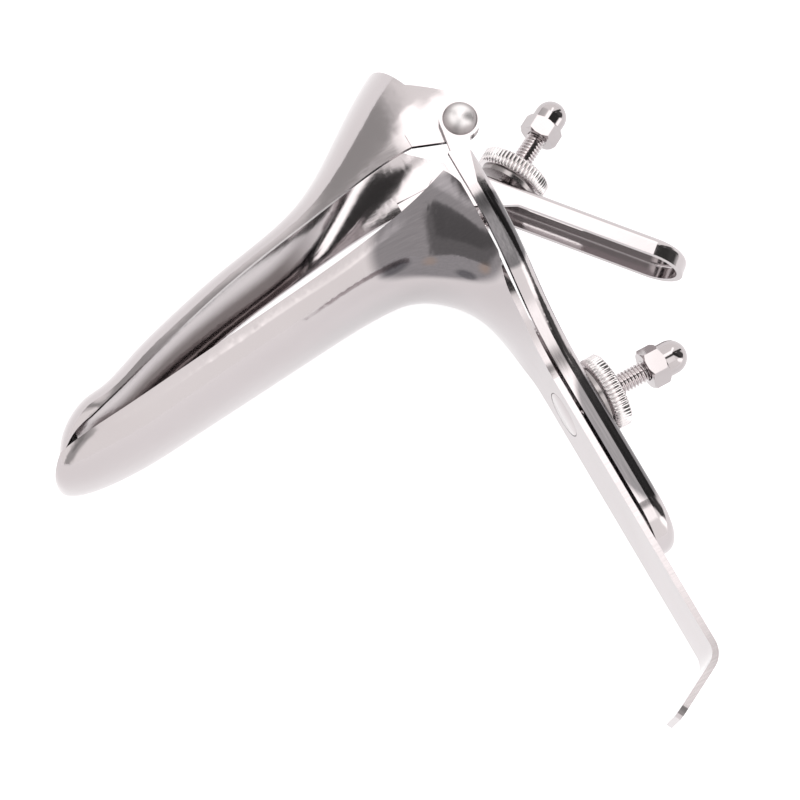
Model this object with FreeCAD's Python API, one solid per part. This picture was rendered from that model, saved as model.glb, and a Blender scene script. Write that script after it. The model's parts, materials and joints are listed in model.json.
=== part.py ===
import FreeCAD, Part
import math
import os

# Bivalve speculum in stainless steel sheet, in millimetres.
# X runs along the blades towards their tips, Y runs down the handle, Z runs across the instrument.
# All sizes below are measured from the axis of the two pivot rivets, midway between them.
# The finished pieces are moved so that the origin lies on the flat front face of the handle.

Vector = FreeCAD.Vector

# Sheet and fits
sheet = 1.2
running_clearance = 0.05
side_clearance = 0.2
seat_clearance = 0.06
sewing_tolerance = 0.01

# Pivot of the upper blade
mouth_half_width = 20.0
ear_radius = 3.8
eye_radius = 3.8
pivot_shank_radius = 1.5
pivot_head_radius = 3.2
pivot_head_height = 2.2
pivot_tail_radius = 2.3
pivot_tail_height = 0.8

# Handle of the lower blade
handle_face = 6.7
handle_half_width = 7.8
handle_top = 48.0
handle_bend_start = 103.4
handle_bend_radius = 3.5
lip_turn = 63.0
lip_length = 11.0
lip_corner_radius = 2.5
grip_middle = 80.0

# Lower blade: each row is one cross-section, from the handle over the arch to the trough.
# distal, down: the middle of the outer face; lean: 90 lies across the handle, 0 across the trough;
# spread: 0 as wide as the handle, 1 as wide as the mouth; depth: from the outer face to the rim;
# fullness: 0 a flat arc, 1 a full half ellipse.
lower_sections = [
    (handle_face, handle_top, 90.0, 0.0, 0.0, 0.0),
    (handle_face, handle_top - 2.0, 90.0, 0.01, 0.0, 0.0),
    (handle_face, handle_top - 4.0, 90.0, 0.04, 0.0, 0.0),
    (6.9, 41.0, 90.0, 0.13, 0.1, 0.0),
    (7.7, 35.6, 90.0, 0.36, 0.9, 0.0),
    (9.7, 29.6, 88.0, 0.62, 2.9, 0.15),
    (12.6, 24.9, 79.0, 0.82, 7.4, 0.6),
    (16.0, 22.0, 59.0, 0.93, 13.2, 1.0),
    (19.6, 20.5, 38.0, 0.99, 18.6, 1.0),
    (24.0, 19.7, 14.0, 0.90, 12.6, 1.0),
    (30.0, 19.7, 0.0, 0.80, 8.9, 1.0),
    (42.0, 20.8, 0.0, 0.74, 8.9, 1.0),
    (55.0, 22.1, 0.0, 0.69, 8.9, 1.0),
    (68.0, 23.4, 0.0, 0.64, 8.8, 1.0),
    (80.0, 24.3, 0.0, 0.59, 8.6, 1.0),
]
lower_rim = [(5.0, 5.8), (9.0, 7.4), (16.0, 9.4), (30.0, 11.8), (55.0, 14.6), (80.0, 17.2), (96.0, 18.4)]
lower_squareness = 2.3
lower_tip = 94.6
lower_tip_down = 20.5
lower_tip_plan_bluntness = 2.8
lower_tip_side_bluntness = 2.4

# Upper blade, collar first. distal, crown: the middle of the outer face; spread as above;
# crown and side: exponents of the rounded arch, 2 and 2 being an ellipse.
upper_sections = [
    (-3.0, -26.8, 1.0, 1.7, 3.4),
    (3.0, -23.4, 1.0, 1.7, 3.4),
    (9.0, -20.0, 0.99, 1.72, 3.2),
    (16.0, -15.2, 0.93, 1.8, 2.8),
    (24.0, -9.2, 0.85, 1.95, 2.4),
    (31.0, -4.9, 0.79, 2.0, 2.2),
    (38.0, -2.2, 0.75, 2.2, 2.2),
    (50.0, 0.3, 0.69, 2.2, 2.2),
    (62.0, 3.2, 0.63, 2.2, 2.2),
    (72.0, 6.4, 0.58, 2.2, 2.2),
    (80.0, 9.0, 0.53, 2.2, 2.2),
]
upper_rim = [
    (-4.0, 1.2), (2.0, 2.4), (6.0, 0.7), (11.0, 0.0), (17.0, 0.3), (30.0, 2.2), (50.0, 5.8), (80.0, 14.2),
    (94.0, 18.0),
]
upper_rim_overlap = 1.0
upper_tip = 92.4
upper_tip_down = 17.7
upper_tip_plan_bluntness = 2.2
upper_tip_side_bluntness = 1.75
tip_rim_drop = 3.0
collar_edge = [(8.4, -34.0), (7.0, -20.0), (4.9, -11.5), (-2.3, -5.4), (-2.5, -2.0), (-2.5, 8.0)]
ear_front = 10.0
ear_top = -2.5
ear_slope = 0.75
nose_steps = 7
nose_last_angle = 86.0
nose_fill_depth = 3.2

# Yoke
yoke_web_face = 0.6
yoke_free_edge = 5.1
yoke_bend_radius = 2.6
yoke_half_width = 9.2
yoke_bottom = 84.8
yoke_arm_straight_end = 10.0
yoke_arm_meets_shank = 50.0
yoke_web_top = 4.6
yoke_window_half_width = 16.4
yoke_window_bottom = 38.0
yoke_window_fullness = 0.72
yoke_neck_end = 12.0
yoke_neck_taper = 4.0
yoke_neck_inset = 0.6
yoke_travel = 20.0

# Handle stud and the hardware on it
stud_radius = 2.0
stud_slot_clearance = 0.2
handle_stud_down = 53.3
stud_foot_radius = 4.5
stud_foot_thickness = 0.6
washer_radius = 6.0
washer_thickness = 1.0
thumb_nut_radius = 7.25
thumb_nut_thickness = 3.5
thumb_nut_edge = 0.5
cap_nut_across_flats = 7.0
cap_nut_hex_height = 3.6
cap_nut_height = 8.6
cap_nut_dome_radius = 3.25
cap_nut_bore_depth = 6.0
cap_nut_bevel_share = 0.9
handle_cap_nut_tip = -19.4
stud_end_gap = 0.4

# Thumb lever and its stud
lever_drop = 50.0
lever_top = 6.0
lever_width = 14.0
lever_skirt = 3.8
lever_bend_radius = 1.6
lever_start = 3.4
lever_reach = 49.0
lever_root_end = 14.0
lever_root_corner = (0.6, -0.8)
lever_eye_radius = 3.6
lever_slot_start = 5.0
lever_slot_end = 27.0
lever_stud_rise = 29.0
lever_stud_foot = (5.3, 12.63)
lever_stud_lug_radius = 3.2
lever_stud_eye_radius = 3.4
lever_stud_eye_thickness = 1.9
lever_stud_eye_gap = 0.2
lever_stud_overhang = 2.9
lever_stud_bar_reach = 2.4
lever_washer_from_foot = 19.86
lever_cap_nut_tip_from_foot = 40.23
lug_sink_radius = 2.1
lug_sink_depth = 0.5

# Places worked out from the sizes above
handle_back = handle_face - sheet
eye_inner = mouth_half_width + side_clearance
eye_outer = eye_inner + sheet
hole_radius = pivot_shank_radius + running_clearance
lever_stud_offset = eye_outer + lever_stud_overhang
stud_hole_radius = stud_radius + running_clearance
stud_slot_radius = stud_radius + stud_slot_clearance
past_all = 5 * mouth_half_width
ACROSS = Vector(0, 0, 1)
PROXIMAL = Vector(-1, 0, 0)
origin_on_handle = Vector(handle_face, grip_middle, 0)
lever_stud_way = Vector(-math.cos(math.radians(lever_stud_rise)), -math.sin(math.radians(lever_stud_rise)), 0)


def save(shape, node):
    """Write one piece, placed from the origin on the handle."""
    placed = shape.copy()
    placed.translate(origin_on_handle * -1)
    placed.exportStep("parts/%s.step" % node)


def cylinder(radius, length, start, direction):
    return Part.makeCylinder(radius, length, start, direction)


def prism(points, low_z, high_z):
    """A straight-sided outline in the XY plane, given a thickness across Z."""
    corners = [Vector(x, y, low_z) for x, y in points]
    face = Part.Face(Part.makePolygon(corners + corners[:1]))
    return face.extrude(Vector(0, 0, high_z - low_z))


def box(low, high):
    return Part.makeBox(high[0] - low[0], high[1] - low[1], high[2] - low[2], Vector(*low))


def width_at(spread):
    """Half width of a blade between the handle's and the mouth's."""
    return handle_half_width + spread * (mouth_half_width - handle_half_width)


def section_points(half_width, depth, crown, side, fullness, count=14):
    """Points across one section as (across, up), from one rim to the other."""
    points = []
    for step in range(count + 1):
        share = step / count
        turn = math.pi * share
        cosine = math.cos(turn)
        full_across = -half_width * math.copysign(abs(cosine) ** (2 / crown), cosine)
        full_up = depth * (1 - math.sin(turn) ** (2 / side))
        swing = 2 * math.atan2(depth, half_width) * (2 * share - 1)
        arc_across = half_width * (2 * share - 1)
        arc_up = 0.0
        if depth > 0:
            radius = (half_width ** 2 + depth ** 2) / (2 * depth)
            arc_across = radius * math.sin(swing)
            arc_up = radius * (1 - math.cos(swing))
        across = fullness * full_across + (1 - fullness) * arc_across
        up = fullness * full_up + (1 - fullness) * arc_up
        points.append((across, up))
    return points


def inward(points, distance):
    """The same section moved square to itself, into the hollow, by one sheet thickness."""
    moved = []
    last = len(points) - 1
    for index, (across, up) in enumerate(points):
        before = points[max(index - 1, 0)]
        after = points[min(index + 1, last)]
        along_across = after[0] - before[0]
        along_up = after[1] - before[1]
        if index in (0, last) and abs(along_up) > abs(along_across):
            along_across = 0.0
        length = math.hypot(along_across, along_up)
        moved.append((across - distance * along_up / length, up + distance * along_across / length))
    return moved


def placed_section(points, middle, up_way):
    """Section points as space points; middle is the middle of the outer face."""
    return [middle + ACROSS * across + up_way * up for across, up in points]


def surface_through(rows):
    surface = Part.BSplineSurface()
    surface.interpolate(rows)
    return surface


def sewn(faces):
    """One closed solid out of faces that meet along their edges."""
    shape = Part.Compound(faces)
    shape.sewShape(sewing_tolerance)
    solid = Part.makeSolid(shape.Shells[0])
    if solid.Volume < 0:
        solid.reverse()
    return solid


def span(first, second):
    """The straight face between two curves that run the same way."""
    return Part.makeRuledSurface(first.toShape(), second.toShape())


def end_lid(curve):
    """The flat face between an open section curve and the line across its rims."""
    edge = curve.toShape()
    start, end = [vertex.Point for vertex in edge.Vertexes]
    return Part.Face(Part.Wire([edge, Part.makeLine(end, start)]))


def side_region(rim, above):
    """Everything above or below a rim line, as seen from the side, cut right across."""
    far_level = -past_all if above else past_all
    line = [Vector(x, y, -past_all) for x, y in rim]
    first = line[0]
    last = line[-1]
    corners = [last, Vector(last.x, far_level, -past_all), Vector(-past_all, far_level, -past_all),
               Vector(-past_all, first.y, -past_all), first]
    curve = Part.BSplineCurve()
    curve.interpolate(line)
    edges = [curve.toShape()] + [Part.makeLine(*pair) for pair in zip(corners, corners[1:])]
    return Part.Face(Part.Wire(edges)).extrude(ACROSS * (2 * past_all))


def level_on(line, distal):
    """Height of a rim line at one distance along the blades."""
    for (x0, y0), (x1, y1) in zip(line, line[1:]):
        if distal <= x1:
            break
    return y0 + (y1 - y0) * (distal - x0) / (x1 - x0)


def rounded_share(along, bluntness):
    return (1 - along ** bluntness) ** (1 / bluntness)


def nose_sizes(last, tip, half_width, rim, plan_bluntness, side_bluntness):
    """Shrinking sections that round off a blade like the end of a spoon.

    last and tip are (distal, down) of the outer face at the last full section and at the tip."""
    sizes = []
    for step in range(1, nose_steps + 1):
        along = math.sin(math.radians(nose_last_angle) * step / nose_steps)
        outer = tip[1] + (last[1] - tip[1]) * rounded_share(along, side_bluntness)
        level = tip[1] + (rim - tip[1]) * (1 - along ** tip_rim_drop)
        middle = Vector(last[0] + (tip[0] - last[0]) * along, outer, 0)
        sizes.append((middle, half_width * rounded_share(along, plan_bluntness), abs(outer - level)))
    return sizes


def blade(sections, nose, crown, side, up_way):
    """The pressed sheet along the whole blade, closed by a filled end at its tip.

    Each section is (middle, up_way, half_width, depth, crown, side, fullness)."""
    hollow = [size for size in nose if size[2] > nose_fill_depth * sheet]
    rounded = [(middle, up_way, half_width, depth, crown, side, 1.0) for middle, half_width, depth in nose]
    outer_rows = []
    inner_rows = []
    for middle, way, *shape in sections + rounded:
        points = section_points(*shape)
        outer_rows.append(placed_section(points, middle, way))
        inner_rows.append(placed_section(inward(points, sheet), middle, way))
    hollow_rows = len(sections) + len(hollow)
    outer = surface_through(outer_rows)
    fill_start = outer.parameter(outer_rows[hollow_rows - 1][0])[0]
    inner = surface_through(inner_rows[:hollow_rows])
    pressed = outer.copy()
    pressed.segment(0, fill_start, 0, 1)
    filled = outer.copy()
    filled.segment(fill_start, 1, 0, 1)
    body = sewn([pressed.toShape(), inner.toShape(), span(pressed.uIso(0), inner.uIso(0)),
                 span(pressed.uIso(fill_start), inner.uIso(1)), span(pressed.vIso(0), inner.vIso(0)),
                 span(pressed.vIso(1), inner.vIso(1))])
    tip = sewn([filled.toShape(), span(filled.vIso(0), filled.vIso(1)), end_lid(filled.uIso(fill_start)),
                end_lid(filled.uIso(1))])
    return body.fuse(tip)


def flat_edges(solid, axis, level):
    """Edges that lie in the plane where one coordinate has the given value."""
    found = []
    for edge in solid.Edges:
        low = getattr(edge.BoundBox, axis + "Min")
        high = getattr(edge.BoundBox, axis + "Max")
        if abs(low - level) < 0.001 and abs(high - level) < 0.001:
            found.append(edge)
    return found


def pressed_tray(outline, way, height, bend_radius, axis, web_level, open_level, straight_end):
    """A flat outline drawn into a tray: web, rounded bend and a wall all round."""
    block = Part.Face(outline).extrude(way * height)
    bends = [edge for edge in flat_edges(block, axis, web_level) if not straight_end(edge.CenterOfMass)]
    block = block.makeFillet(bend_radius, bends)
    open_faces = [face for face in block.Faces
                  if abs(getattr(face.CenterOfMass, axis.lower()) - open_level) < 0.001]
    return block.makeThickness(open_faces, -sheet, 0.001)


def slot(start, end, radius, way, depth):
    """A round-ended slot cutter from one centre to another."""
    along = (end - start).normalize()
    side = way.cross(along).normalize()
    corners = [start + side * radius, end + side * radius, end - side * radius, start - side * radius]
    middle = Part.Face(Part.makePolygon(corners + corners[:1])).extrude(way * depth)
    ends = cylinder(radius, depth, start, way).fuse(cylinder(radius, depth, end, way))
    return middle.fuse(ends)


def dome(radius, height, base, way):
    """A rounded rivet head on a base point."""
    ball = (radius ** 2 + height ** 2) / (2 * height)
    centre = base - way * (ball - height)
    return Part.makeSphere(ball, centre).common(cylinder(radius, height + ball, base, way))


def lower_blade():
    sections = []
    for distal, down, lean, spread, depth, fullness in lower_sections:
        turn = math.radians(lean)
        up_way = Vector(-math.sin(turn), -math.cos(turn), 0)
        sections.append((Vector(distal, down, 0), up_way, width_at(spread), depth,
                         lower_squareness, lower_squareness, fullness))
    last = lower_sections[-1]
    nose = nose_sizes(last[:2], (lower_tip, lower_tip_down), width_at(last[3]), last[1] - last[4],
                      lower_tip_plan_bluntness, lower_tip_side_bluntness)
    shell = blade(sections, nose, lower_squareness, lower_squareness, Vector(0, -1, 0))
    shell = shell.cut(side_region(lower_rim, above=True))
    shell = shell.cut(box((-past_all, -past_all, -past_all), (handle_back, handle_top, past_all)))
    pressed = shell.fuse(handle_strip())
    foot = Vector(handle_face, handle_stud_down, 0)
    foot_seat = cylinder(stud_foot_radius + running_clearance, stud_foot_thickness, foot, PROXIMAL)
    stud_hole = cylinder(stud_hole_radius, 2 * sheet, foot, PROXIMAL)
    return pressed.cut(foot_seat).cut(stud_hole).removeSplitter()


def handle_strip():
    """Flat strip, one bend and the lip, drawn from the side and given its width."""
    turn = math.radians(lip_turn)
    outer_radius = handle_bend_radius + sheet
    centre = Vector(handle_face + handle_bend_radius, handle_bend_start, 0)

    def on_bend(radius, angle):
        return centre + Vector(-radius * math.cos(angle), radius * math.sin(angle), 0)

    lip_way = Vector(math.sin(turn), math.cos(turn), 0)
    outer = [on_bend(outer_radius, 0), on_bend(outer_radius, turn / 2), on_bend(outer_radius, turn)]
    inner = [on_bend(handle_bend_radius, turn), on_bend(handle_bend_radius, turn / 2),
             on_bend(handle_bend_radius, 0)]
    outer_end = outer[2] + lip_way * lip_length
    inner_end = inner[0] + lip_way * lip_length
    top_back = Vector(handle_back, handle_top, 0)
    top_front = Vector(handle_face, handle_top, 0)
    edges = [
        Part.makeLine(top_back, outer[0]),
        Part.Arc(*outer).toShape(),
        Part.makeLine(outer[2], outer_end),
        Part.makeLine(outer_end, inner_end),
        Part.makeLine(inner_end, inner[0]),
        Part.Arc(*inner).toShape(),
        Part.makeLine(inner[2], top_front),
        Part.makeLine(top_front, top_back),
    ]
    profile = Part.Face(Part.Wire(edges))
    profile.translate(ACROSS * -handle_half_width)
    strip = profile.extrude(ACROSS * (2 * handle_half_width))
    lip_end = (outer_end + inner_end) * 0.5
    corners = [edge for edge in strip.Edges
               if (edge.CenterOfMass - lip_end).Length < handle_half_width + 0.001
               and abs(abs(edge.CenterOfMass.z) - handle_half_width) < 0.001
               and abs(edge.Length - sheet) < 0.001]
    return strip.makeFillet(lip_corner_radius, corners)


def upper_blade():
    up_way = Vector(0, 1, 0)
    sections = []
    for distal, crown_level, spread, crown, side in upper_sections:
        depth = level_on(upper_rim, distal) + upper_rim_overlap - crown_level
        sections.append((Vector(distal, crown_level, 0), up_way, width_at(spread), depth, crown, side, 1.0))
    rim = level_on(upper_rim, distal) + upper_rim_overlap
    nose = nose_sizes((distal, crown_level), (upper_tip, upper_tip_down + upper_rim_overlap),
                      width_at(spread), rim, upper_tip_plan_bluntness, upper_tip_side_bluntness)
    shell = blade(sections, nose, crown, side, up_way)
    shell = shell.cut(side_region(upper_rim, above=False))
    front = collar_edge + [(-past_all, collar_edge[-1][1]), (-past_all, collar_edge[0][1])]
    shell = shell.cut(prism(front, -past_all, past_all))
    outline = [(ear_front, ear_top), (-ear_radius * ear_slope, ear_top), (-ear_radius, 0), (0, ear_radius),
               (ear_front, level_on(upper_rim, ear_front))]

    def ear(low, high):
        return prism(outline, low, high).fuse(cylinder(ear_radius, high - low, Vector(0, 0, low), ACROSS))

    ear_inner = mouth_half_width - sheet
    shell = shell.cut(ear(-past_all, past_all))
    shell = shell.fuse(ear(ear_inner, mouth_half_width)).fuse(ear(-mouth_half_width, -ear_inner))
    hole = cylinder(hole_radius, past_all, Vector(0, 0, -past_all / 2), ACROSS)
    return shell.cut(hole).removeSplitter()


def yoke_outline(x):
    """Outline of the yoke seen from the front, from the near arm round to the far arm."""
    middle = (yoke_arm_straight_end + yoke_arm_meets_shank) / 2
    round_start = yoke_bottom - yoke_half_width
    half = [
        (yoke_web_top, eye_outer),
        (yoke_arm_straight_end, eye_outer),
        (middle, eye_outer),
        (middle, yoke_half_width),
        (yoke_arm_meets_shank, yoke_half_width),
        (round_start, yoke_half_width),
    ]
    near = [Vector(x, y, z) for y, z in half]
    far = [Vector(x, y, -z) for y, z in half]
    edges = [Part.makeLine(near[0], near[1])]
    for side in (near, far[::-1]):
        arm = Part.BezierCurve()
        shoulder = side[1:5]
        arm.setPoles(shoulder)
        edges.append(arm.toShape())
    edges.append(Part.makeLine(near[4], near[5]))
    edges.append(Part.Arc(near[5], Vector(x, yoke_bottom, 0), far[5]).toShape())
    edges.append(Part.makeLine(far[5], far[4]))
    edges.append(Part.makeLine(far[1], far[0]))
    edges.append(Part.makeLine(far[0], near[0]))
    return Part.Wire(Part.__sortEdges__(edges))


def yoke_window():
    """Opening between the arms, round at its lower end."""
    x = yoke_web_face - sheet
    top = yoke_web_top - sheet
    start = Vector(x, top, yoke_window_half_width)
    side = Vector(x, yoke_arm_straight_end, yoke_window_half_width)
    bottom = Vector(x, yoke_window_bottom, 0)
    mirrored = [Vector(point.x, point.y, -point.z) for point in (start, side)]
    edges = [Part.makeLine(start, side)]
    for corner, sign in ((side, 1), (mirrored[1], -1)):
        shoulder = Vector(x, yoke_window_bottom * yoke_window_fullness, sign * yoke_window_half_width)
        foot = Vector(x, yoke_window_bottom, sign * yoke_half_width)
        curve = Part.BezierCurve()
        curve.setPoles([corner, shoulder, foot, bottom])
        edges.append(curve.toShape())
    edges.append(Part.makeLine(mirrored[1], mirrored[0]))
    edges.append(Part.makeLine(mirrored[0], start))
    outline = Part.Wire(Part.__sortEdges__(edges))
    return Part.Face(outline).extrude(PROXIMAL * -(3 * sheet))


def yoke():
    height = yoke_free_edge - yoke_web_face

    def top_edge(point):
        return abs(point.y - yoke_web_top) < 0.001

    tray = pressed_tray(yoke_outline(yoke_free_edge), PROXIMAL, height, yoke_bend_radius, "X",
                        yoke_web_face, yoke_free_edge, top_edge)
    tray = tray.cut(yoke_window())
    tray = tray.cut(box((yoke_web_face - 1, yoke_web_top - 1, -eye_inner),
                        (yoke_free_edge + 1, yoke_web_top + sheet, eye_inner)))
    slot_start = Vector(yoke_web_face + 2 * sheet, handle_stud_down, 0)
    slot_end = slot_start + Vector(0, yoke_travel, 0)
    tray = tray.cut(slot(slot_start, slot_end, stud_slot_radius, PROXIMAL, 4 * sheet))
    flat_start = yoke_web_face + yoke_bend_radius
    neck = [
        (eye_radius, 0),
        (yoke_free_edge, yoke_neck_end - yoke_neck_taper),
        (yoke_free_edge, yoke_neck_end),
        (flat_start, yoke_neck_end),
        (yoke_web_face + yoke_neck_inset, yoke_web_top + 1),
        (0, eye_radius),
        (0, 0),
    ]
    for side in (-1, 1):
        low = min(side * eye_inner, side * eye_outer)
        eye = prism(neck, low, low + sheet).fuse(cylinder(eye_radius, sheet, Vector(0, 0, low), ACROSS))
        tray = tray.fuse(eye)
    hole = cylinder(hole_radius, past_all, Vector(0, 0, -past_all / 2), ACROSS)
    lug = stud_foot_point() - ACROSS * eye_outer
    tray = tray.fuse(cylinder(lever_stud_lug_radius, sheet, lug, ACROSS))
    lug_hole = cylinder(hole_radius, 3 * sheet, lug - ACROSS * sheet, ACROSS)
    return tray.cut(hole).cut(lug_hole).cut(lug_sink()).removeSplitter()


def lug_sink():
    """Cone that the lever stud's rivet fills on the inner face of the lug."""
    start = stud_foot_point() - ACROSS * (eye_inner + lug_sink_depth)
    return Part.makeCone(pivot_shank_radius, lug_sink_radius, lug_sink_depth, start, ACROSS)


def pivot_rivet(side, inner_layers):
    """Rivet with a domed head outside the yoke and a low tail inside the mouth."""
    way = ACROSS * side
    tail_face = mouth_half_width - sheet - inner_layers - seat_clearance
    shank = cylinder(pivot_shank_radius, eye_outer - tail_face, way * tail_face, way)
    head = dome(pivot_head_radius, pivot_head_height, way * eye_outer, way)
    tail = dome(pivot_tail_radius, pivot_tail_height, way * tail_face, way * -1)
    return shank.fuse(head).fuse(tail).removeSplitter()


def in_lever_frame(shape):
    """From the lever's own axes, along and up, to its place on the instrument."""
    placed = shape.copy()
    placed.rotate(Vector(0, 0, 0), ACROSS, 180 - lever_drop)
    return placed


def thumb_lever():
    near_z = -(mouth_half_width - 2 * sheet - seat_clearance)
    far_z = near_z - lever_width
    open_level = lever_top - lever_skirt
    middle_z = (near_z + far_z) / 2
    end_radius = lever_width / 2
    corner = lever_reach - end_radius
    near_start = Vector(lever_start, open_level, near_z)
    near_end = Vector(corner, open_level, near_z)
    far_end = Vector(corner, open_level, far_z)
    far_start = Vector(lever_start, open_level, far_z)
    outline = Part.Wire([
        Part.makeLine(near_start, near_end),
        Part.Arc(near_end, Vector(lever_reach, open_level, middle_z), far_end).toShape(),
        Part.makeLine(far_end, far_start),
        Part.makeLine(far_start, near_start),
    ])

    def root_edge(point):
        return abs(point.x - lever_start) < 0.001

    tray = pressed_tray(outline, Vector(0, 1, 0), lever_skirt, lever_bend_radius, "Y",
                        lever_top, open_level, root_edge)
    tray = tray.cut(box((lever_start - 1, open_level - 1, far_z + sheet),
                        (lever_start + sheet, lever_top - sheet, near_z - sheet)))
    slot_z = -lever_stud_offset
    tray = tray.cut(slot(Vector(lever_slot_start, lever_top - 2 * sheet, slot_z),
                         Vector(lever_slot_end, lever_top - 2 * sheet, slot_z),
                         stud_slot_radius, Vector(0, 1, 0), 3 * sheet))
    flat_top = lever_top - lever_bend_radius
    root = [
        (-lever_eye_radius, 0),
        (lever_start, flat_top),
        (lever_root_end, flat_top),
        (lever_root_end, open_level),
        (lever_root_corner[0] * lever_eye_radius, lever_root_corner[1] * lever_eye_radius),
        (0, 0),
    ]
    plate = prism(root, near_z - sheet, near_z)
    plate = plate.fuse(cylinder(lever_eye_radius, sheet, Vector(0, 0, near_z - sheet), ACROSS))
    lever = tray.fuse(plate)
    hole = cylinder(hole_radius, 4 * sheet, Vector(0, 0, near_z - 2 * sheet), ACROSS)
    return in_lever_frame(lever.cut(hole).removeSplitter())


def handle_stud():
    face = Vector(handle_face, handle_stud_down, 0)
    foot = cylinder(stud_foot_radius, stud_foot_thickness, face, PROXIMAL)
    end = handle_cap_nut_tip + cap_nut_height - cap_nut_bore_depth + stud_end_gap
    shank = cylinder(stud_radius, handle_face - end, face, PROXIMAL)
    return foot.fuse(shank).removeSplitter()


def stud_foot_point():
    return Vector(lever_stud_foot[0], lever_stud_foot[1], 0)


def on_lever_stud(distance):
    """A point on the axis of the lever stud, measured from its foot."""
    return stud_foot_point() + lever_stud_way * distance - ACROSS * lever_stud_offset


def lever_stud():
    eye_face = -(eye_outer + lever_stud_eye_gap)
    low = eye_face - lever_stud_eye_thickness
    foot = stud_foot_point() + ACROSS * low
    eye = cylinder(lever_stud_eye_radius, lever_stud_eye_thickness, foot, ACROSS)
    side = ACROSS.cross(lever_stud_way) * stud_radius
    reach = lever_stud_way * (lever_stud_bar_reach * lever_stud_eye_radius)
    corners = [foot + side, foot + side + reach, foot - side + reach, foot - side]
    bar = Part.Face(Part.makePolygon(corners + corners[:1])).extrude(ACROSS * lever_stud_eye_thickness)
    end = lever_cap_nut_tip_from_foot - (cap_nut_height - cap_nut_bore_depth) - stud_end_gap
    start = lever_stud_eye_radius
    shank = cylinder(stud_radius, end - start, on_lever_stud(start), lever_stud_way)
    hole = cylinder(hole_radius, 4 * sheet, foot - ACROSS * sheet, ACROSS)
    return eye.fuse(bar).fuse(shank).cut(hole).removeSplitter()


def lever_stud_rivet():
    foot = stud_foot_point()
    outer = -(eye_outer + lever_stud_eye_gap + lever_stud_eye_thickness + seat_clearance)
    inner = -eye_inner
    shank = cylinder(pivot_shank_radius, inner - outer, foot + ACROSS * outer, ACROSS)
    head = dome(pivot_tail_radius, pivot_tail_height, foot + ACROSS * outer, ACROSS * -1)
    return shank.fuse(head).fuse(lug_sink()).removeSplitter()


def washer(start, way):
    disc = cylinder(washer_radius, washer_thickness, start, way)
    return disc.cut(cylinder(stud_slot_radius, washer_thickness, start, way))


def thumb_nut(start, way):
    """Round nut with eased rims and a plain bore."""
    body = cylinder(thumb_nut_radius, thumb_nut_thickness, start, way)
    rims = [edge for edge in body.Edges if edge.Length > 6 * thumb_nut_radius]
    body = body.makeChamfer(thumb_nut_edge, rims)
    return body.cut(cylinder(stud_hole_radius, thumb_nut_thickness, start, way))


def cap_nut(tip, way):
    """Hexagon nut with a domed end; way points from its base to its tip."""
    base = tip - way * cap_nut_height
    corner_radius = cap_nut_across_flats / math.sqrt(3)
    side = ACROSS
    up = way.cross(side)
    corners = []
    for step in range(6):
        angle = math.radians(60 * step + 30)
        corners.append(base + (side * math.cos(angle) + up * math.sin(angle)) * corner_radius)
    hexagon = Part.Face(Part.makePolygon(corners + corners[:1])).extrude(way * cap_nut_hex_height)
    bevel = corner_radius - cap_nut_across_flats / 2
    eased = Part.makeCylinder(corner_radius, cap_nut_hex_height, base, way)
    rims = [edge for edge in eased.Edges if edge.Length > 6 * corner_radius]
    eased = eased.makeChamfer(bevel * cap_nut_bevel_share, rims)
    hexagon = hexagon.common(eased)
    neck = cylinder(cap_nut_dome_radius, cap_nut_height - cap_nut_dome_radius, base, way)
    ball = Part.makeSphere(cap_nut_dome_radius, base + way * (cap_nut_height - cap_nut_dome_radius))
    bore = cylinder(stud_hole_radius, cap_nut_bore_depth, base, way)
    return hexagon.fuse(neck).fuse(ball).cut(bore).removeSplitter()


def build():
    os.makedirs("parts", exist_ok=True)
    handle_axis = Vector(0, handle_stud_down, 0)
    washer_face = Vector(yoke_web_face - seat_clearance, 0, 0) + handle_axis
    nut_face = washer_face + PROXIMAL * (washer_thickness + seat_clearance)
    lever_nut_from_foot = lever_washer_from_foot + washer_thickness + seat_clearance
    pieces = {
        "lower_blade": lower_blade(),
        "yoke": yoke(),
        "upper_blade": upper_blade(),
        "thumb_lever": thumb_lever(),
        "near_pivot_rivet": pivot_rivet(1, 0),
        "far_pivot_rivet": pivot_rivet(-1, sheet + seat_clearance),
        "handle_stud": handle_stud(),
        "handle_washer": washer(washer_face, PROXIMAL),
        "handle_thumb_nut": thumb_nut(nut_face, PROXIMAL),
        "handle_cap_nut": cap_nut(Vector(handle_cap_nut_tip, 0, 0) + handle_axis, PROXIMAL),
        "lever_stud": lever_stud(),
        "lever_stud_rivet": lever_stud_rivet(),
        "lever_washer": washer(on_lever_stud(lever_washer_from_foot), lever_stud_way),
        "lever_thumb_nut": thumb_nut(on_lever_stud(lever_nut_from_foot), lever_stud_way),
        "lever_cap_nut": cap_nut(on_lever_stud(lever_cap_nut_tip_from_foot), lever_stud_way),
    }
    for node, shape in pieces.items():
        solids = shape.Solids
        print(node, len(solids), shape.isValid(), round(shape.Volume, 1))
        save(solids[0] if len(solids) == 1 else shape, node)


build()
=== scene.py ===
import json
import math

import bmesh
import bpy
from mathutils import Matrix, Vector


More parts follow.
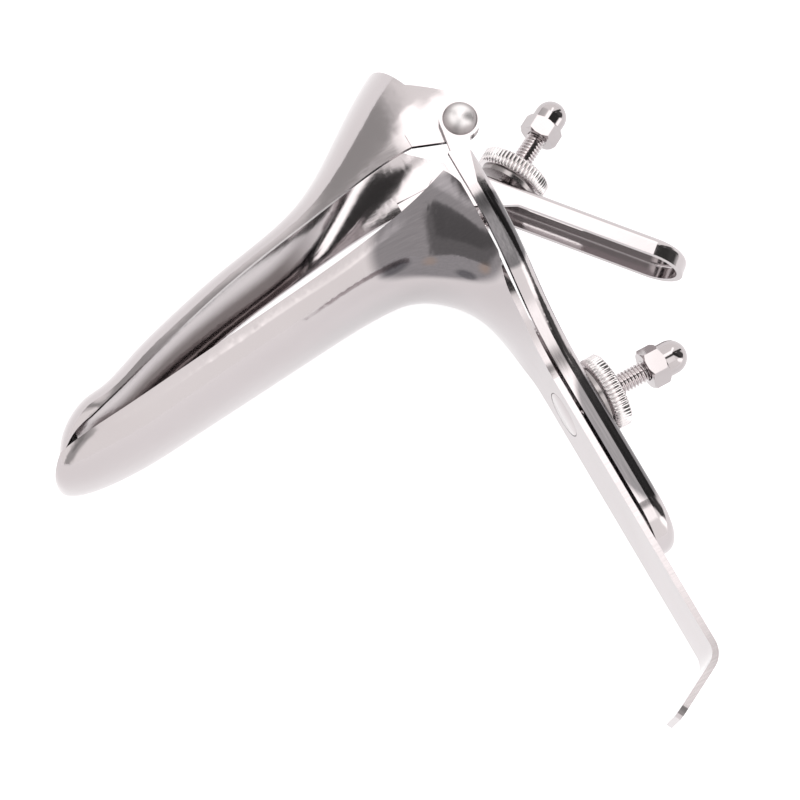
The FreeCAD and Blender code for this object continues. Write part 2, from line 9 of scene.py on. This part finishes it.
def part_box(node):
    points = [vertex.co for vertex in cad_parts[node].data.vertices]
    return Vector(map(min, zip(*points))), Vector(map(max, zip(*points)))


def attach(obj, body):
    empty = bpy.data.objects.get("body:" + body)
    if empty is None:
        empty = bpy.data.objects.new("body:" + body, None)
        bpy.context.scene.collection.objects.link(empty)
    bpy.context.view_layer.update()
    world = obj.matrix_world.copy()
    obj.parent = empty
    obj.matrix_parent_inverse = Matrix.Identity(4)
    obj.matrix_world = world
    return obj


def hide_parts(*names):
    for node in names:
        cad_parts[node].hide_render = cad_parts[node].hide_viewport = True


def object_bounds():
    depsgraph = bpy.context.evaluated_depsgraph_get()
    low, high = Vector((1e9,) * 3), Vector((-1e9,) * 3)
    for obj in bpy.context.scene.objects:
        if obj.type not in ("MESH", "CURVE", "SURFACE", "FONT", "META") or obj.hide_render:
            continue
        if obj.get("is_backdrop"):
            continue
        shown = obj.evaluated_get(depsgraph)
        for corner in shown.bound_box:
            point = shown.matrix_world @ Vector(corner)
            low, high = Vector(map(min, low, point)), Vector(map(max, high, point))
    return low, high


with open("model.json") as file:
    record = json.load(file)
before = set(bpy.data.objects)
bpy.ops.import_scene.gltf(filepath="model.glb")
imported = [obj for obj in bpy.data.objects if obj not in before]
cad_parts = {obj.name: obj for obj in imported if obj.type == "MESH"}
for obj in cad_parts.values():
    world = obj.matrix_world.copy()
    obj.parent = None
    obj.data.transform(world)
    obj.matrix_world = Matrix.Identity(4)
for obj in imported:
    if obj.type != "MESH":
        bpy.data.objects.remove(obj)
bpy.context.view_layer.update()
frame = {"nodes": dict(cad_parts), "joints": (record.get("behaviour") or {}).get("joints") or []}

nodes = frame["nodes"]
joints = {joint["name"]: joint for joint in frame["joints"]}
mm = 0.001


def middleOf(node):
    low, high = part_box(node)
    return (low + high) / 2


# Camera where the photograph was taken from

photoView = {
    "spot": (0.10267, 0.05576, 0.47348),
    "right": (-0.871216, 0.489284, 0.039804),
    "up": (-0.464724, -0.848168, 0.254249),
    "back": (0.158160, 0.203007, 0.966319),
    "lens": 119.56,
    "sensor": 36.0,
    "nearest": 0.01,
    "farthest": 20.0,
}


def placeCamera(view):
    data = bpy.data.cameras.new("photoCamera")
    data.lens = view["lens"]
    data.sensor_width = view["sensor"]
    data.clip_start = view["nearest"]
    data.clip_end = view["farthest"]
    camera = bpy.data.objects.new("photoCamera", data)
    bpy.context.scene.collection.objects.link(camera)
    turn = Matrix((view["right"], view["up"], view["back"])).transposed().to_4x4()
    camera.matrix_world = Matrix.Translation(view["spot"]) @ turn
    bpy.context.scene.camera = camera


# Shader maths written as expressions

class Flow:
    def __init__(self, tree, socket):
        self.tree = tree
        self.socket = socket

    def maths(self, operation, first, second=None):
        node = self.tree.nodes.new("ShaderNodeMath")
        node.operation = operation
        plug(self.tree, first, node.inputs[0])
        if second is not None:
            plug(self.tree, second, node.inputs[1])
        return Flow(self.tree, node.outputs[0])

    def __add__(self, other):
        return self.maths("ADD", self, other)

    def __radd__(self, other):
        return self.maths("ADD", other, self)

    def __sub__(self, other):
        return self.maths("SUBTRACT", self, other)

    def __rsub__(self, other):
        return self.maths("SUBTRACT", other, self)

    def __mul__(self, other):
        return self.maths("MULTIPLY", self, other)

    def __rmul__(self, other):
        return self.maths("MULTIPLY", other, self)

    def __truediv__(self, other):
        return self.maths("DIVIDE", self, other)

    def __pow__(self, other):
        return self.maths("POWER", self, other)

    def clamped(self):
        return self.maths("MINIMUM", self.maths("MAXIMUM", self, 0.0), 1.0)

    def unsigned(self):
        return self.maths("ABSOLUTE", self)

    def eased(self):
        level = self.clamped()
        return level * level * (3.0 - 2.0 * level)


def plug(tree, value, slot):
    if isinstance(value, Flow):
        tree.links.new(value.socket, slot)
    else:
        slot.default_value = value


class Finish:
    def __init__(self, name, kind="material"):
        if kind == "material":
            self.material = bpy.data.materials.new(name)
        else:
            self.material = bpy.data.worlds.new(name)
        self.material.use_nodes = True
        self.tree = self.material.node_tree
        self.shader = self.tree.nodes["Principled BSDF" if kind == "material" else "Background"]
        self.place = self.node("ShaderNodeTexCoord", out="Object" if kind == "material" else "Generated")

    def node(self, kind, settings=None, inputs=None, out=0):
        made = self.tree.nodes.new(kind)
        for key, value in (settings or {}).items():
            setattr(made, key, value)
        for key, value in (inputs or {}).items():
            plug(self.tree, value, made.inputs[key])
        return Flow(self.tree, made.outputs[out])

    def axes(self, vector=None):
        split = self.node("ShaderNodeSeparateXYZ", inputs={"Vector": vector or self.place})
        return [Flow(self.tree, part) for part in split.socket.node.outputs]

    def noise(self, scale, detail=2.0, stretch=(1, 1, 1), seed=0.0, turn=(0, 0, 0)):
        placed = self.node("ShaderNodeMapping", inputs={"Vector": self.place, "Scale": stretch,
                                                        "Location": (seed, 0, 0), "Rotation": turn})
        return self.node("ShaderNodeTexNoise", inputs={"Vector": placed, "Scale": scale, "Detail": detail},
                         out="Fac")

    def blend(self, share, first, second):
        return self.node("ShaderNodeMix", {"data_type": "RGBA"}, {"Factor": share, "A": first, "B": second},
                         out="Result")

    def feed(self, slot, value):
        plug(self.tree, value, self.shader.inputs[slot])


# Steel finishes: brushed and polished. The darker zones stand in for dark reflections that the
# photograph shows and this room doesn't throw onto the same place; the real metal is likely even.

# Mask of a painted reflection: a soft spot that blends a darker, brown or bright colour into the steel
def paintedReflectionMask(finish, zone):
    x, y, z = finish.axes()
    places = zip((x, y, z.unsigned()), zone["spot"], zone["reach"])
    x, y, z = [(place - middle) / reach for place, middle, reach in places]
    away = (x * x + y * y + z * z) ** 0.5
    return ((1.0 - away) / zone["soft"]).eased() * zone["amount"]


# Mask of the trough's inner walls, where the colour is darkened as painted shade
def innerShadeMask(finish, look):
    facing = finish.axes(finish.node("ShaderNodeNewGeometry", out="Normal"))
    gap = ((facing[1] - look["openFrom"]) * look["openRise"]).clamped()
    wall = ((facing[2].unsigned() - look["wallFrom"]) * look["wallRise"]).eased()
    deep = ((finish.axes()[0] - look["start"]) / look["over"]).eased()
    return gap * wall * deep * look["amount"]


def polishedSteel(name, look):
    finish = Finish(name)
    finish.feed("Metallic", 1.0)
    cloud = finish.noise(look["cloudScale"], 3.0) * look["cloudGain"] - look["cloudDrop"]
    streaks = finish.noise(look["streakScale"], 3.0, look["streakWay"], turn=look["streakTurn"])
    colour = finish.blend(cloud.clamped(), look["tint"], look["shade"])
    # Painted shade on the trough's inner walls
    if "inside" in look:
        colour = finish.blend(innerShadeMask(finish, look["inside"]), colour, look["inside"]["colour"])
    # Painted reflections: dark patches, tints and highlights blended into the colour, roughened by the
    # streaks
    for zone in look.get("paintedReflections", ()):
        ragged = paintedReflectionMask(finish, zone) * (1.0 - zone["ragged"] + 2.0 * zone["ragged"] * streaks)
        colour = finish.blend(ragged.clamped(), colour, zone["colour"])
    finish.feed("Base Color", colour)
    finish.feed("Roughness", (look["roughness"] + look["streaks"] * streaks).clamped())
    wave = finish.noise(look["waveScale"], 1.0)
    grain = finish.noise(look["grainScale"], 2.0, look["streakWay"], look["grainSeed"], look["streakTurn"])
    height = wave * look["wave"] + grain * look["grain"]
    bump = finish.node("ShaderNodeBump", inputs={"Height": height, "Strength": 1.0, "Distance": mm},
                       out="Normal")
    finish.feed("Normal", bump)
    return finish.material


bladeLook = {
    "tint": (0.548, 0.510, 0.518, 1),
    "shade": (0.508, 0.470, 0.475, 1),
    "cloudScale": 30.0,
    "cloudGain": 2.2,
    "cloudDrop": 0.6,
    "streakScale": 2600.0,
    "streakWay": (0.05, 1, 1),
    "streakTurn": (0, 0, 0),
    "roughness": 0.07,
    "streaks": 0.10,
    "waveScale": 60.0,
    "wave": 0.10,
    "grainScale": 3500.0,
    "grain": 0.003,
    "grainSeed": 4.0,
}
# Painted reflections: darker patches, brown tints and a broad painted shade along the underside, set where
# dark reflections and shade fall; middle and reach in x, y and height over the middle plane, the same on
# both sides of it
lowerBladeLook = dict(bladeLook, paintedReflections=[
    {"spot": (0.0180, -0.0600, 0.0000), "reach": (0.0340, 0.0110, 0.0095), "soft": 0.9, "amount": 0.45,
     "ragged": 0.0, "colour": (0.33, 0.31, 0.315, 1)},
    {"spot": (0.0050, -0.0635, 0.0160), "reach": (0.0165, 0.0130, 0.0095), "soft": 0.20, "amount": 0.86,
     "ragged": 0.09, "colour": (0.135, 0.126, 0.134, 1)},
    {"spot": (0.0160, -0.0633, 0.0128), "reach": (0.0042, 0.0022, 0.0018), "soft": 0.6, "amount": 0.7,
     "ragged": 0.3, "colour": (0.045, 0.043, 0.050, 1)},
    {"spot": (0.0045, -0.0562, 0.0112), "reach": (0.0040, 0.0024, 0.0016), "soft": 0.6, "amount": 0.7,
     "ragged": 0.3, "colour": (0.045, 0.043, 0.050, 1)},
    {"spot": (0.0100, -0.0610, 0.0128), "reach": (0.0024, 0.0016, 0.0018), "soft": 0.9, "amount": 0.55,
     "ragged": 0.3, "colour": (0.26, 0.185, 0.145, 1)},
    {"spot": (0.0020, -0.0548, 0.0145), "reach": (0.0018, 0.0018, 0.0022), "soft": 0.9, "amount": 0.55,
     "ragged": 0.3, "colour": (0.26, 0.185, 0.145, 1)},
])
# The trough's inner walls get painted shade, dark as the walls mirror each other, from where they start
# along x and by which way they face
troughInsideShade = {
    "start": 18 * mm,
    "over": 14 * mm,
    "openFrom": 0.3,
    "openRise": 4.0,
    "wallFrom": 0.12,
    "wallRise": 4.5,
    "amount": 0.92,
    "colour": (0.125, 0.104, 0.102, 1),
}
upperBladeLook = dict(bladeLook, inside=troughInsideShade)
# The yoke's flange carries two painted dark reflections
yokeLook = dict(bladeLook, streakWay=(1, 0.05, 1), roughness=0.08, wave=0.05, paintedReflections=[
    {"spot": (-0.0030, -0.0585, 0.0195), "reach": (0.0062, 0.0088, 0.0060), "soft": 0.16, "amount": 0.85,
     "ragged": 0.12, "colour": (0.085, 0.083, 0.088, 1)},
    {"spot": (-0.0045, -0.0170, 0.0090), "reach": (0.0042, 0.0150, 0.0034), "soft": 0.20, "amount": 0.80,
     "ragged": 0.12, "colour": (0.085, 0.083, 0.088, 1)},
])
leverLook = dict(bladeLook, streakWay=(0.05, 1, 1), streakTurn=(0, 0, math.radians(50)), wave=0.05)
hardwareLook = dict(bladeLook, tint=(0.60, 0.56, 0.565, 1), shade=(0.56, 0.52, 0.525, 1), cloudScale=120.0,
                    streakWay=(1, 1, 1), roughness=0.05, streaks=0.05, wave=0.02, grain=0.001)
turnedLook = dict(hardwareLook, tint=(0.78, 0.745, 0.75, 1), shade=(0.72, 0.68, 0.68, 1), roughness=0.14,
                  streaks=0.10, grain=0.004)
# Rivet heads: a darker tint with a painted highlight, a bright round spot centred on the pivot
pivot = middleOf("near_pivot_rivet")
rivetLook = dict(hardwareLook, tint=(0.40, 0.37, 0.37, 1), shade=(0.36, 0.33, 0.33, 1), roughness=0.36,
                 streaks=0.10, paintedReflections=[
    {"spot": (pivot.x, pivot.y, 0.0), "reach": (0.0027, 0.0027, 1.0), "soft": 0.45, "amount": 1.0,
     "ragged": 0.0, "colour": (0.84, 0.81, 0.81, 1)},
])
capNutLook = dict(hardwareLook, tint=(0.50, 0.465, 0.47, 1), shade=(0.46, 0.425, 0.43, 1))
washerLook = dict(turnedLook, tint=(0.36, 0.335, 0.335, 1), shade=(0.30, 0.275, 0.275, 1))


def giveFinish(finish, *names):
    for name in names:
        piece = nodes[name]
        piece.data.materials.clear()
        piece.data.materials.append(finish)


# Pieces modelled here in place of their plain solids

mergeWithin = 0.002 * mm


def finished(bm, name, body, finish, *replaced, sharp=40.0):
    bmesh.ops.remove_doubles(bm, verts=bm.verts, dist=mergeWithin)
    bmesh.ops.recalc_face_normals(bm, faces=bm.faces)
    for face in bm.faces:
        face.smooth = True
    for edge in bm.edges:
        if len(edge.link_faces) == 2 and edge.calc_face_angle() > math.radians(sharp):
            edge.smooth = False
    mesh = bpy.data.meshes.new(name)
    bm.to_mesh(mesh)
    bm.free()
    mesh.materials.append(finish)
    piece = bpy.data.objects.new(name, mesh)
    bpy.context.scene.collection.objects.link(piece)
    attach(piece, body)
    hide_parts(*replaced)
    return piece


def onAxis(spot, axis):
    way = Vector(axis).normalized()
    return Matrix.Translation(spot) @ way.to_track_quat("Z", "Y").to_matrix().to_4x4()


def spunRing(bm, corners, steps):
    points = [bm.verts.new((radius, 0, height)) for radius, height in corners]
    edges = [bm.edges.new(pair) for pair in zip(points, points[1:] + points[:1])]
    before = set(bm.verts) - set(points)
    bmesh.ops.spin(bm, geom=points + edges, cent=(0, 0, 0), axis=(0, 0, 1), angle=math.tau, steps=steps,
                   use_merge=True)
    return [vert for vert in bm.verts if vert not in before]


# Knurled thumb nuts

thumbNutLook = {
    "radius": 7.25 * mm,
    "thickness": 3.5 * mm,
    "bore": 2.05 * mm,
    "ease": 0.45 * mm,
    "boreEase": 0.3 * mm,
    "knurls": 52,
    "stepsPerKnurl": 6,
    "knurlDepth": 0.34 * mm,
}


def thumbNut(name, node, body, axis, finish, look):
    radius, bore, half = look["radius"], look["bore"], look["thickness"] / 2
    ease, boreEase = look["ease"], look["boreEase"]
    corners = [
        (bore, -half + boreEase),
        (bore + boreEase, -half),
        (radius - 2 * ease, -half),
        (radius - ease, -half + 0.15 * ease),
        (radius, -half + ease),
        (radius, half - ease),
        (radius - ease, half - 0.15 * ease),
        (radius - 2 * ease, half),
        (bore + boreEase, half),
        (bore, half - boreEase),
    ]
    bm = bmesh.new()
    made = spunRing(bm, corners, look["knurls"] * look["stepsPerKnurl"])
    for vert in made:
        reach = vert.co.xy.length
        share = max(0.0, (reach - (radius - 2 * ease)) / (2 * ease))
        turn = math.atan2(vert.co.y, vert.co.x) * look["knurls"]
        dip = look["knurlDepth"] * share * (0.5 - 0.5 * math.cos(turn)) ** 2
        vert.co.xy *= (reach - dip) / reach
    bmesh.ops.transform(bm, matrix=onAxis(middleOf(node), axis), verts=bm.verts)
    return finished(bm, name, body, finish, node, sharp=50.0)


# Threaded studs

threadLook = {
    "crest": 2.0 * mm,
    "root": 1.58 * mm,
    "pitch": 0.7 * mm,
    "stepsPerTurn": 32,
    "crestEase": 0.04 * mm,
    "flankStart": 0.16,  # shares of the pitch
    "crestStart": 0.5,
    "crestRise": 0.04,
    "crestEnd": 0.62,
    "flankEnd": 0.96,
}


def threadedRod(bm, place, length, look):
    pitch, crest, root = look["pitch"], look["crest"], look["root"]
    turns = math.ceil(length / pitch) + 2
    corners = [
        (root, 0),
        (root, look["flankStart"]),
        (crest - look["crestEase"], look["crestStart"] - look["crestRise"]),
        (crest, look["crestStart"]),
        (crest, look["crestEnd"]),
        (root, look["flankEnd"]),
        (root, 1),
    ]
    rod = bmesh.new()
    points = [rod.verts.new((radius, 0, (share - 1) * pitch)) for radius, share in corners]
    edges = [rod.edges.new(pair) for pair in zip(points, points[1:])]
    steps = turns * look["stepsPerTurn"]
    bmesh.ops.spin(rod, geom=points + edges, cent=(0, 0, 0), axis=(0, 0, 1),
                   dvec=(0, 0, pitch / look["stepsPerTurn"]), angle=math.tau * turns, steps=steps,
                   use_merge=False)
    bmesh.ops.remove_doubles(rod, verts=rod.verts, dist=mergeWithin)
    for level, way in ((0.0, -1), (length, 1)):
        cut = rod.verts[:] + rod.edges[:] + rod.faces[:]
        bmesh.ops.bisect_plane(rod, geom=cut, plane_co=(0, 0, level), plane_no=(0, 0, way),
                               clear_outer=True, dist=0.0001 * mm)
        rims = [edge for edge in rod.edges if len(edge.link_faces) == 1
                and all(abs(vert.co.z - level) < 0.01 * mm for vert in edge.verts)]
        bmesh.ops.contextual_create(rod, geom=rims)
    bmesh.ops.transform(rod, matrix=place, verts=rod.verts)
    joined(bm, rod)


def joined(bm, part):
    mesh = bpy.data.meshes.new("joining")
    part.to_mesh(mesh)
    part.free()
    bm.from_mesh(mesh)
    bpy.data.meshes.remove(mesh)


def easedEdges(bm, width):
    edges = [edge for edge in bm.edges if edge.calc_face_angle() > math.radians(40)]
    bmesh.ops.bevel(bm, geom=edges, offset=width, affect="EDGES", segments=2, profile=0.5, material=-1)


handleStudLook = {
    "footRadius": 4.42 * mm,
    "footThickness": 0.58 * mm,
    "footEase": 0.08 * mm,
    "footSides": 96,
}


def handleStud(finish, look):
    low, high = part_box("handle_stud")
    start = middleOf("handle_stud")
    start.x = high.x - look["footThickness"] / 2
    seat = onAxis(start, (-1, 0, 0))
    bm = bmesh.new()
    bmesh.ops.create_cone(bm, cap_ends=True, segments=look["footSides"], radius1=look["footRadius"],
                          radius2=look["footRadius"], depth=look["footThickness"], matrix=seat)
    easedEdges(bm, look["footEase"])
    threadedRod(bm, seat, start.x - low.x, threadLook)
    return finished(bm, "handleThreadedStud", "lower", finish, "handle_stud")


leverStudLook = {
    "eyeRadius": 3.4 * mm,
    "eyeThickness": 1.9 * mm,
    "holeRadius": 1.56 * mm,
    "barWidth": 4.0 * mm,
    "barReach": 8.16 * mm,
    "threadStart": 5.0 * mm,
    "end": 37.2 * mm,
    "ease": 0.25 * mm,
    "eyeSides": 72,
}


def leverStud(finish, look):
    foot = Vector(joints["lever_stud_swing"]["pos_m"])
    way = Vector(joints["lever_nut_travel"]["axis"]).normalized()
    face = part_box("lever_stud")[1].z
    middle = Vector((foot.x, foot.y, face - look["eyeThickness"] / 2))
    half, ease, radius = look["eyeThickness"] / 2, look["ease"], look["eyeRadius"]
    bm = bmesh.new()
    eye = [
        (look["holeRadius"], -half),
        (radius - ease, -half),
        (radius, -half + ease),
        (radius, half - ease),
        (radius - ease, half),
        (look["holeRadius"], half),
    ]
    spunRing(bm, eye, look["eyeSides"])
    bmesh.ops.transform(bm, matrix=Matrix.Translation(middle), verts=bm.verts)
    bar = bmesh.new()
    start = look["holeRadius"] + ease
    reach = look["barReach"] - start
    size = Matrix.Diagonal((reach, look["barWidth"], look["eyeThickness"], 1))
    turn = Matrix.Rotation(math.atan2(way.y, way.x), 4, "Z")
    bmesh.ops.create_cube(bar, size=1, matrix=size)
    easedEdges(bar, ease)
    place = Matrix.Translation(middle + way * (start + reach / 2)) @ turn
    bmesh.ops.transform(bar, matrix=place, verts=bar.verts)
    joined(bm, bar)
    threadStart = look["threadStart"]
    threadedRod(bm, onAxis(foot + way * threadStart, way), look["end"] - threadStart, threadLook)
    return finished(bm, "leverThreadedStud", "lever_bolt", finish, "lever_stud")


# Studio: a white table and a white room with the dark shapes that the polished steel mirrors

studioLook = {
    "floorSize": 8.0,
    "floorGap": 0.0003,
    "floorColour": (0.46, 0.46, 0.46, 1),
    "floorGlow": (1.0, 0.99, 1.0, 1),
    "floorGlowStrength": 0.78,
    "floorRoughness": 0.9,
    "roomColour": (1.0, 0.985, 0.975, 1),
    "roomLevel": 1.30,
}

# Soft shapes of the room overhead, seen from below: x and y of the way towards them
roomShapes = [
    {"start": (-0.09, -0.46), "end": (-0.17, -0.14), "width": 0.11, "soft": 0.10, "level": 2.3},
    {"start": (-0.20, -0.27), "end": (-0.55, -0.52), "width": 0.10, "soft": 0.07, "level": 2.3},
    {"start": (-0.19, 0.22), "end": (-0.19, 0.60), "width": 0.06, "soft": 0.06, "level": 2.0},
    {"start": (-0.50, 0.72), "end": (-0.76, 0.64), "width": 0.10, "soft": 0.08, "level": 2.2},
    {"start": (0.20, -0.70), "end": (0.32, -0.98), "width": 0.24, "soft": 0.20, "level": 0.88},
    {"start": (0.08, -0.43), "end": (0.25, -0.93), "width": 0.10, "soft": 0.09, "level": 0.48},
    {"start": (0.44, 0.36), "end": (0.82, 0.62), "width": 0.29, "soft": 0.18, "level": 0.55},
    {"start": (0.20, 0.17), "end": (0.60, 0.46), "width": 0.10, "soft": 0.08, "level": 0.36},
    {"start": (-0.40, 0.01), "end": (-0.72, 0.38), "width": 0.19, "soft": 0.08, "level": 0.05},
    {"start": (-0.36, -0.14), "end": (-0.97, -0.13), "width": 0.075, "soft": 0.03, "level": 0.05},
    {"start": (-0.80, -0.05), "end": (-0.88, 0.30), "width": 0.15, "soft": 0.08, "level": 0.10},
]


def floorFinish(look):
    finish = Finish("floorPaint")
    finish.feed("Base Color", look["floorColour"])
    finish.feed("Roughness", look["floorRoughness"])
    finish.feed("Emission Color", look["floorGlow"])
    finish.feed("Emission Strength", look["floorGlowStrength"])
    return finish.material


def shapeMask(x, y, shape):
    startX, startY = shape["start"]
    runX = shape["end"][0] - startX
    runY = shape["end"][1] - startY
    along = ((x - startX) * runX + (y - startY) * runY) / (runX ** 2 + runY ** 2)
    share = along.clamped()
    awayX = x - startX - share * runX
    awayY = y - startY - share * runY
    away = (awayX * awayX + awayY * awayY) ** 0.5
    return ((shape["width"] - away) / shape["soft"] + 0.5).eased()


def buildRoom(look, shapes):
    room = Finish("studioRoom", "world")
    x, y = room.axes()[:2]
    level = look["roomLevel"]
    for shape in shapes:
        level = level + shapeMask(x, y, shape) * (shape["level"] - level)
    room.feed("Color", look["roomColour"])
    room.feed("Strength", level)
    bpy.context.scene.world = room.material


def buildStudio(look):
    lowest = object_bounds()[0].z - look["floorGap"]
    bm = bmesh.new()
    bmesh.ops.create_grid(bm, x_segments=1, y_segments=1, size=look["floorSize"] / 2,
                          matrix=Matrix.Translation((0, 0, lowest)))
    mesh = bpy.data.meshes.new("floor")
    bm.to_mesh(mesh)
    bm.free()
    mesh.materials.append(floorFinish(look))
    floor = bpy.data.objects.new("floor", mesh)
    bpy.context.scene.collection.objects.link(floor)
    floor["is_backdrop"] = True
    bpy.context.scene.view_settings.view_transform = "Standard"


lowerBladeSteel = polishedSteel("lowerBladeSteel", lowerBladeLook)
upperBladeSteel = polishedSteel("upperBladeSteel", upperBladeLook)
yokeSteel = polishedSteel("yokeSteel", yokeLook)
leverSteel = polishedSteel("leverSteel", leverLook)
hardwareSteel = polishedSteel("hardwareSteel", hardwareLook)
turnedSteel = polishedSteel("turnedSteel", turnedLook)
rivetSteel = polishedSteel("rivetSteel", rivetLook)
capNutSteel = polishedSteel("capNutSteel", capNutLook)
washerSteel = polishedSteel("washerSteel", washerLook)
giveFinish(hardwareSteel, *nodes)
giveFinish(lowerBladeSteel, "lower_blade")
giveFinish(upperBladeSteel, "upper_blade")
giveFinish(yokeSteel, "yoke")
giveFinish(leverSteel, "thumb_lever")
giveFinish(washerSteel, "handle_washer", "lever_washer")
giveFinish(capNutSteel, "handle_cap_nut", "lever_cap_nut")
giveFinish(rivetSteel, "near_pivot_rivet", "far_pivot_rivet", "lever_stud_rivet")
print("finishes are on the packed pieces")

handleWay = joints["handle_nut_travel"]["axis"]
leverWay = joints["lever_nut_travel"]["axis"]
thumbNut("handleKnurledNut", "handle_thumb_nut", "handle_nut", handleWay, turnedSteel, thumbNutLook)
thumbNut("leverKnurledNut", "lever_thumb_nut", "lever_nut", leverWay, turnedSteel, thumbNutLook)
handleStud(hardwareSteel, handleStudLook)
leverStud(hardwareSteel, leverStudLook)
print("knurled nuts and threaded studs are modelled")

buildRoom(studioLook, roomShapes)
buildStudio(studioLook)
placeCamera(photoView)
print("studio and camera are in place")
